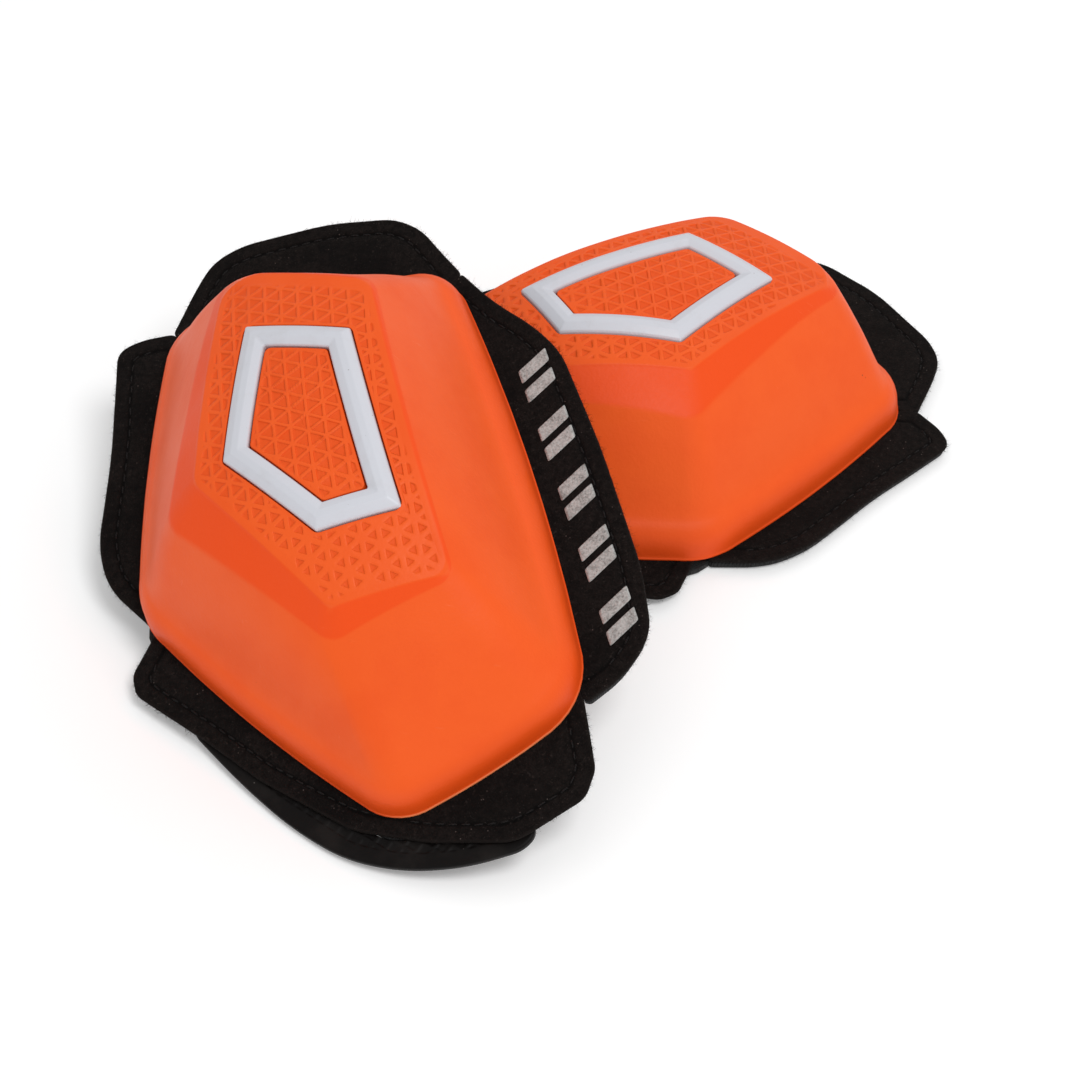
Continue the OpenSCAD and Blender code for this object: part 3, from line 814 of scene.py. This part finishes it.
# a moulded strip with a smooth outer wall and a diamond grid inside it
lip = {"height": 1.9, "wall": 3.2, "reach": 3.6, "round": 0.6, "gridSpacing": 3.2, "gridDepth": 0.2, "gridHalf": 0.22}


def makeLip(pad):  # rows run in from the free edge; the grid's hollows start inside the smooth wall
    corners = rows(puck["rimCorners"])
    out = lip["reach"]
    start = corners[2] + (corners[3] - corners[2]) * 0.55
    start = start + turned(unitRows(corners[3] - corners[2])) * out
    end = corners[1] + (corners[2] - corners[1]) * 0.3
    end = end + turned(unitRows(corners[2] - corners[1])) * out
    corner = insetCorners(corners, -out)[2]
    free = smoothed(np.vstack([[end], lipEdge, [start]]), 0.5, [2, 12, 12, 12, 12, 12, 8, 3])
    back = resampled(smoothed(np.vstack([[end], [corner], [start]]), 0.5, [9]), count=len(free))
    steps = np.concatenate([[0, 0.1, 0.25, 0.5, 0.9, 1.5, 2.2, 2.8, 3.1, 3.4], np.arange(3.7, 22, 0.4)])
    flat = free + (back - free) * rowShares(steps, np.linalg.norm(free - back, axis=1))[..., None]
    d = distanceTo(free, flat)
    s = lip["gridSpacing"]
    lines = np.minimum(*[np.abs(q / s - np.round(q / s)) * s for q in
                         ((flat[..., 0] + flat[..., 1]) * 0.7071, (flat[..., 0] - flat[..., 1]) * 0.7071)])
    inGrid = smoothStep((d - lip["wall"] - 0.3) / 0.5)
    top = lip["height"] - inGrid * lip["gridDepth"] * smoothStep((lines - lip["gridHalf"]) / 0.45)
    roll = lip["round"] - np.sqrt(np.maximum(lip["round"] ** 2 - np.maximum(lip["round"] - d, 0) ** 2, 0))
    top = top - roll
    low = 0.02 + roll * 0.6
    section = np.concatenate([np.concatenate([flat, low[..., None]], -1)[::-1],
                              np.concatenate([flat, np.maximum(top, low + 0.3)[..., None]], -1)])
    rowCount, columnCount = section.shape[:2]
    piece = finishMesh(pad.name("tip_lip_moulded"), section.reshape(-1, 3),
                       [gridFaces(rowCount, columnCount, wrap=False, loop=True)], pad, pad.name("pad"),
                       section.reshape(-1, 3)[:, :2] * 0.01, merge=0.004)
    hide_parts(pad.name("tip_lip"))
    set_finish(piece, "black_rubber")
    return piece


class Wire:
    # one node socket; sums, products and the rest add Math nodes
    def __init__(self, finish, socket):
        self.finish, self.socket = finish, socket

    def math(self, operation, *others, clamp=False):
        return self.finish.node("ShaderNodeMath", {"operation": operation, "use_clamp": clamp}, [self, *others])

    def __add__(self, other): return self.math("ADD", other)
    def __radd__(self, other): return self.math("ADD", other)
    def __mul__(self, other): return self.math("MULTIPLY", other)
    def __rmul__(self, other): return self.math("MULTIPLY", other)
    def __sub__(self, other): return self.math("SUBTRACT", other)
    def __rsub__(self, other): return (self * -1).math("ADD", other)
    def __truediv__(self, other): return self.math("DIVIDE", other)
    def abs(self): return self.math("ABSOLUTE")
    def floor(self): return self.math("FLOOR")
    def lower(self, other): return self.math("MINIMUM", other)
    def clipped(self): return (self + 0).math("ADD", 0, clamp=True)

    def ramp(self, low, high):  # 0 below low, 1 above high, smooth between
        return self.finish.node("ShaderNodeMapRange", {"interpolation_type": "SMOOTHSTEP"},
                                {"Value": self, "From Min": low, "From Max": high})


class Finish:
    # one material: a shader, and a method that adds any other node
    def __init__(self, name, **constants):
        self.material = bpy.data.materials.new(name)
        self.material.use_nodes = True
        self.tree = self.material.node_tree
        self.tree.nodes.clear()
        self.shader = self.tree.nodes.new("ShaderNodeBsdfPrincipled")
        output = self.tree.nodes.new("ShaderNodeOutputMaterial")
        self.tree.links.new(self.shader.outputs[0], output.inputs[0])
        for key, value in constants.items():
            self.shader.inputs[key.replace("_", " ")].default_value = value

    def node(self, kind, settings=None, sockets=None, out=0):
        made = self.tree.nodes.new(kind)
        for key, value in (settings or {}).items():
            setattr(made, key, value)
        pairs = enumerate(sockets) if isinstance(sockets, list) else (sockets or {}).items()
        for key, value in pairs:
            self.join(value, made.inputs[key])
        return Wire(self, made.outputs[out])

    def join(self, value, socket):
        if isinstance(value, Wire):
            self.tree.links.new(value.socket, socket)
        else:
            socket.default_value = value

    def feed(self, **values):
        for key, value in values.items():
            self.join(value, self.shader.inputs[key.replace("_", " ")])
        return self.material

    def mix(self, a, b, factor):
        made = self.tree.nodes.new("ShaderNodeMix")
        made.data_type = "RGBA"
        for value, k in ((factor, 0), (a, 6), (b, 7)):
            self.join(value, made.inputs[k])
        return Wire(self, made.outputs[2])

    def place(self):
        return self.node("ShaderNodeTexCoord", out="Object")

    def noise(self, scale, detail=3.0, rough=0.5, vector=None, stretch=None):
        vector = vector or self.place()
        if stretch:
            vector = self.node("ShaderNodeMapping", {}, {"Vector": vector, "Scale": stretch})
        return self.node("ShaderNodeTexNoise", {}, {"Vector": vector, "Scale": scale, "Detail": detail,
                                                    "Roughness": rough})

    def cells(self, scale, vector=None, feature="F1", out=0):
        return self.node("ShaderNodeTexVoronoi", {"feature": feature},
                         {"Vector": vector or self.place(), "Scale": scale}, out=out)

    def attribute(self, name):
        return self.node("ShaderNodeAttribute", {"attribute_name": name}, out="Fac")

    def bump(self, height, distance, strength=1.0, under=None):
        sockets = {"Height": height, "Distance": distance, "Strength": strength}
        if under:
            sockets["Normal"] = under
        return self.node("ShaderNodeBump", {}, sockets)


def rgb(r, g, b):  # linear colour with full alpha
    return (r, g, b, 1.0)


# lit is the plain base colour; deep is a deeper random tone and also painted shade low on the walls; band is painted
# shade on the steep band; recess is painted shade in the lattice hollows; pale is scuffs and also a painted highlight
# on the lattice ridges
urethane = {"lit": rgb(0.88, 0.104, 0.009), "deep": rgb(0.78, 0.060, 0.002), "recess": rgb(0.66, 0.055, 0.003),
            "pale": rgb(0.92, 0.135, 0.022), "band": rgb(0.86, 0.070, 0.0012), "roughness": 0.5}


def urethaneFinish():
    f = Finish("orangeUrethane", IOR=1.45, Specular_IOR_Level=0.3)
    uv = f.node("ShaderNodeUVMap", {"uv_map": "padPlane"})
    parts = f.node("ShaderNodeSeparateXYZ", {}, {"Vector": uv})
    x = Wire(f, parts.socket.node.outputs[0]) * 100
    y = Wire(f, parts.socket.node.outputs[1]) * 100
    s, nearest = lattice["spacing"], None
    for a in (0, 60, 120):
        q = (x * math.cos(math.radians(a)) + y * math.sin(math.radians(a))) / s
        away = (q - (q + 0.5).floor()).abs() * s
        nearest = away if nearest is None else nearest.lower(away)
    on, half, band = f.attribute("latticeOn"), f.attribute("ridgeHalf"), f.attribute("bandOn")
    recess = ((nearest - half) / lattice["slope"]).ramp(0.1, 1.0) * on
    blotch = f.noise(55, 4, 0.6)
    fine = f.noise(900, 2, 0.6)
    colour = f.mix(urethane["lit"], urethane["deep"], (blotch.ramp(0.35, 0.75) * 0.28).clipped())
    # painted shade: the steep band round the panel is coloured darker and deeper, as if turned away from the light
    colour = f.mix(colour, urethane["band"], band * 0.9)
    # painted shade in the lattice hollows, and a painted highlight on the lattice ridges
    colour = f.mix(colour, urethane["recess"], recess * 0.3)
    colour = f.mix(colour, urethane["pale"], (1 - recess) * on * 0.12)
    # tiny dark specks and a few scuffs
    speck = f.cells(330)
    pick = f.noise(70, 1, 0.5)
    dots = (1 - speck.ramp(0.05, 0.1)) * pick.ramp(0.66, 0.72)
    colour = f.mix(colour, rgb(0.22, 0.03, 0.008), dots * 0.75)
    scuff = f.noise(120, 3, 0.65, stretch=(1, 9, 3)).ramp(0.66, 0.76)
    colour = f.mix(colour, urethane["pale"], scuff * 0.3)
    height = f.attribute("height")
    # painted shade: darker, deeper orange low on the walls near the rim, where less light falls
    colour = f.mix(colour, urethane["deep"], (1 - height.ramp(5, 15)) * 0.6)
    # moulding flash along the rim's foot, paler only near the tip's outer side: partly the flash's own tan colour,
    # partly a painted highlight where light strikes it
    flash = (1 - height.ramp(3.7, 4.1)) * (1 - y.ramp(-62, -40)) * x.ramp(-6, 4)
    colour = f.mix(colour, rgb(0.90, 0.36, 0.15), flash * 0.55)
    skin = f.bump(f.noise(1400, 2, 0.5) + f.noise(260, 3, 0.6) * 1.6 + scuff * 0.6, 0.00009, 0.55)
    skin = f.bump(1 - recess, 0.00022, 0.6, skin)
    roughness = urethane["roughness"] + (blotch - 0.5) * 0.2 + recess * 0.12 - scuff * 0.1 + (fine - 0.5) * 0.08
    return f.feed(Base_Color=colour, Roughness=roughness, Normal=skin)


def inlayFinish():
    f = Finish("whiteInlay", IOR=1.46, Specular_IOR_Level=0.4)
    grime = f.noise(140, 4, 0.65).ramp(0.52, 0.8)
    colour = f.mix(rgb(0.62, 0.63, 0.68), rgb(0.50, 0.49, 0.50), grime * 0.35)
    speck = (1 - f.cells(420).ramp(0.05, 0.1)) * f.noise(90, 1, 0.5).ramp(0.6, 0.66)
    colour = f.mix(colour, rgb(0.25, 0.22, 0.2), speck * 0.6)
    skin = f.bump(f.noise(1100, 3, 0.6) + f.noise(170, 2, 0.5) * 1.2, 0.00006, 0.5)
    return f.feed(Base_Color=colour, Roughness=0.4 + grime * 0.18, Normal=skin)


def suedeFinish():
    f = Finish("blackSuede", IOR=1.4, Specular_IOR_Level=0.12, Sheen_Weight=0.025, Sheen_Roughness=0.45)
    f.shader.inputs["Sheen Tint"].default_value = rgb(0.5, 0.42, 0.38)
    nap = f.noise(2600, 4, 0.7)
    tuft = f.noise(700, 3, 0.6)
    slow = f.noise(60, 3, 0.55)
    colour = f.mix(rgb(0.0025, 0.002, 0.0018), rgb(0.013, 0.0098, 0.0088), (nap * 0.6 + tuft * 0.5).ramp(0.4, 0.75))
    colour = f.mix(colour, rgb(0.002, 0.0017, 0.0017), slow.ramp(0.45, 0.7) * 0.6)
    edge = 1 - f.attribute("fromEdge").ramp(0.1, 0.9)
    colour = f.mix(colour, rgb(0.012, 0.009, 0.008), edge * 0.6)
    # painted shade in the stitch groove: the suede darkens towards the stitch line
    fromSeam = (f.attribute("fromEdge") - fabric["stitchIn"]).abs()
    colour = f.mix(colour, rgb(0.001, 0.0008, 0.0008), (1 - fromSeam.ramp(0.15, 0.8)) * 0.8)
    lint = (1 - f.cells(620).ramp(0.07, 0.12)) * f.noise(160, 1, 0.5).ramp(0.54, 0.60)
    fluff = (1 - f.node("ShaderNodeTexNoise", {}, {"Vector": f.place(), "Scale": 900.0, "Detail": 1.0,
                                                    "Distortion": 2.5}).ramp(0.30, 0.34))
    colour = f.mix(colour, rgb(0.12, 0.095, 0.085), (lint * 0.7 + fluff * 0.12).clipped())
    skin = f.bump(nap + tuft * 0.7, 0.00035, 0.9)
    skin = f.bump(slow, 0.0006, 0.25, skin)
    return f.feed(Base_Color=colour, Roughness=0.86 + (tuft - 0.5) * 0.16, Normal=skin)


def hookFinish():
    f = Finish("blackHook", IOR=1.45, Specular_IOR_Level=0.3)
    uv = f.node("ShaderNodeUVMap", {"uv_map": "padPlane"})
    dots = f.cells(150, uv)
    stem = 1 - dots.ramp(0.12, 0.32)
    weave = f.node("ShaderNodeTexWave", {"wave_type": "BANDS"}, {"Vector": uv, "Scale": 60.0})
    colour = f.mix(rgb(0.006, 0.006, 0.006), rgb(0.03, 0.03, 0.031), (stem * 0.7 + weave * 0.3).clipped())
    return f.feed(Base_Color=colour, Roughness=0.62 - stem * 0.15, Normal=f.bump(stem + weave * 0.3, 0.0006, 0.9))


def rubberFinish():
    f = Finish("blackRubber", IOR=1.45, Specular_IOR_Level=0.14)
    grime = f.noise(120, 4, 0.6)
    colour = f.mix(rgb(0.0035, 0.0026, 0.0024), rgb(0.010, 0.0078, 0.007), grime.ramp(0.4, 0.75))
    dust = (1 - f.cells(480).ramp(0.06, 0.1)) * f.noise(130, 1, 0.5).ramp(0.6, 0.66)
    colour = f.mix(colour, rgb(0.14, 0.12, 0.11), dust * 0.6)
    return f.feed(Base_Color=colour, Roughness=0.42 + grime * 0.15,
                  Normal=f.bump(f.noise(900, 3, 0.6), 0.00008, 0.5))


def reflectiveFinish():
    f = Finish("silverPrint", IOR=1.45, Specular_IOR_Level=0.5)
    beads = f.cells(1500)
    grain = f.noise(1900, 3, 0.75)
    mottle = f.noise(380, 3, 0.7)
    colour = f.mix(rgb(0.20, 0.195, 0.185), rgb(0.50, 0.49, 0.475), (grain * 0.7 + mottle * 0.5).ramp(0.4, 0.75))
    gaps = (f.noise(1300, 2, 0.8).ramp(0.64, 0.72))
    colour = f.mix(colour, rgb(0.03, 0.026, 0.024), gaps * 0.75)
    return f.feed(Base_Color=colour, Roughness=0.55 + grain * 0.2, Metallic=0.25 - gaps * 0.25,
                  Normal=f.bump(beads + grain, 0.00015, 0.7))


def threadFinish():
    f = Finish("blackThread", IOR=1.45, Specular_IOR_Level=0.22)
    twist = f.node("ShaderNodeTexWave", {"wave_type": "BANDS", "bands_direction": "DIAGONAL"},
                   {"Vector": f.place(), "Scale": 700.0, "Distortion": 1.0})
    colour = f.mix(rgb(0.003, 0.0026, 0.0026), rgb(0.014, 0.0122, 0.0116), twist)
    return f.feed(Base_Color=colour, Roughness=0.55 + twist * 0.15, Normal=f.bump(twist, 0.00012, 0.8))


def foamFinish():
    f = Finish("greyFoam", IOR=1.4, Specular_IOR_Level=0.2)
    cells = f.cells(900)
    large = f.noise(80, 3, 0.5)
    colour = f.mix(rgb(0.045, 0.045, 0.048), rgb(0.11, 0.11, 0.115), (cells * 0.8 + large * 0.4).ramp(0.3, 0.8))
    return f.feed(Base_Color=colour, Roughness=0.9 + (large - 0.5) * 0.1, Normal=f.bump(cells, 0.0004, 0.8))


def boardFinish():
    f = Finish("blackBoard", IOR=1.46, Specular_IOR_Level=0.35)
    grain = f.noise(650, 4, 0.65)
    colour = f.mix(rgb(0.012, 0.012, 0.013), rgb(0.035, 0.034, 0.034), grain.ramp(0.4, 0.7))
    return f.feed(Base_Color=colour, Roughness=0.58 + grain * 0.15, Normal=f.bump(grain, 0.00012, 0.6))


def steelFinish():
    f = Finish("rivetSteel", IOR=1.5)
    brushed = f.noise(420, 4, 0.6, stretch=(1, 1, 7))
    spots = f.noise(90, 3, 0.5)
    colour = f.mix(rgb(0.42, 0.41, 0.40), rgb(0.62, 0.61, 0.60), brushed)
    return f.feed(Base_Color=colour, Metallic=1 - spots.ramp(0.62, 0.8) * 0.3, Roughness=0.28 + brushed * 0.22,
                  Normal=f.bump(brushed, 0.00005, 0.5))


finishes = {
    "orange_polyurethane": urethaneFinish(), "white_plastic": inlayFinish(), "black_suede": suedeFinish(),
    "hook_fabric": hookFinish(), "black_rubber": rubberFinish(), "reflective_print": reflectiveFinish(),
    "black_thread": threadFinish(), "grey_foam": foamFinish(), "black_plastic": boardFinish(),
    "rivet_steel": steelFinish(),
}
print("materials made")


def dress(piece, material):  # one material on the whole piece
    piece.data.materials.clear()
    piece.data.materials.append(material)


for number, pad in enumerate(pads):
    made = [makeShell(pad), makeInlay(pad), makeFoam(pad), makeLip(pad)]
    print(pad.side, "puck made")
    made += makeCore(pad, 100 + number * 50)
    for k, kind in enumerate(lobes):
        made += makeLobe(pad, kind, 110 + number * 50 + k * 10)
    for piece in made:
        dress(piece, finishes[piece["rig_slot"]])
    for words, slotName in (("base_plate", "black_plastic"), ("rivets", "rivet_steel"), ("washers", "rivet_steel")):
        dress(frame["nodes"][pad.name(words)], finishes[slotName])
    print(pad.side, "flange made")


studio = {"world": 0.6, "floorZ": -0.0004, "floorHalf": 6.0,
          "elevation": 45.2, "roll": -2.72, "aim": (-0.01381, -0.04055, 0.0), "distance": 0.7199, "lens": 93.33,
          # each light's name, place, aim, size and power
          "lights": [("keyLight", (0.35, -0.6, 1.3), (0, -0.03, 0), 0.55, 8.6),
                     ("backLight", (0.5, 0.9, 0.9), (0, -0.03, 0.02), 0.8, 1.5)]}


def makeFloor():  # a flat grid just under the lowest point
    t = np.linspace(-studio["floorHalf"], studio["floorHalf"], 13)
    x, y = np.meshgrid(t, t, indexing="ij")
    verts = np.stack([x, y, np.full(x.shape, studio["floorZ"])], -1).reshape(-1, 3)
    floor = bpy.data.objects.new("floor", fillMesh("floor", verts, [gridFaces(13, 13, wrap=False)[:, ::-1]]))
    bpy.context.scene.collection.objects.link(floor)
    f = Finish("paleFloor", IOR=1.3, Specular_IOR_Level=0.1, Emission_Strength=0.16)
    f.shader.inputs["Emission Color"].default_value = rgb(1, 1, 1)
    colour = f.mix(rgb(0.93, 0.93, 0.93), rgb(0.95, 0.95, 0.95), f.noise(3, 2, 0.5))
    dress(floor, f.feed(Base_Color=colour, Roughness=0.9))


def makeLight(name, place, aim, size, power):
    lamp = bpy.data.lights.new(name, "AREA")
    lamp.shape, lamp.size, lamp.energy = "DISK", size, power
    thing = bpy.data.objects.new(name, lamp)
    thing.location = place
    thing.rotation_mode = "QUATERNION"
    thing.rotation_quaternion = (Vector(aim) - Vector(place)).to_track_quat("-Z", "Y")
    bpy.context.scene.collection.objects.link(thing)


def makeStudio():
    world = bpy.data.worlds.new("studio")
    world.use_nodes = True
    world.node_tree.nodes["Background"].inputs[0].default_value = rgb(1, 1, 1)
    world.node_tree.nodes["Background"].inputs[1].default_value = studio["world"]
    bpy.context.scene.world = world
    for light in studio["lights"]:
        makeLight(*light)
    bpy.context.scene.view_settings.view_transform = "Standard"
    bpy.context.scene.view_settings.look = "None"


def makeCamera():  # it looks at the aim from its distance, down at its elevation, rolled about its own axis
    e, roll = math.radians(studio["elevation"]), math.radians(studio["roll"])
    forward = rows([0, math.cos(e), -math.sin(e)])
    right = rows([1, 0, 0])
    down = np.cross(forward, right)
    right, down = math.cos(roll) * right + math.sin(roll) * down, -math.sin(roll) * right + math.cos(roll) * down
    eye = rows(studio["aim"]) - forward * studio["distance"]
    data = bpy.data.cameras.new("camera")
    data.sensor_width, data.lens = 36, studio["lens"]
    data.clip_start, data.clip_end = 0.05, 20
    camera = bpy.data.objects.new("camera", data)
    turn = Matrix(np.stack([right, -down, -forward], 1).tolist()).to_4x4()
    camera.matrix_world = Matrix.Translation(eye.tolist()) @ turn
    bpy.context.scene.collection.objects.link(camera)
    bpy.context.scene.camera = camera


makeFloor()
makeStudio()
makeCamera()
print("studio made")
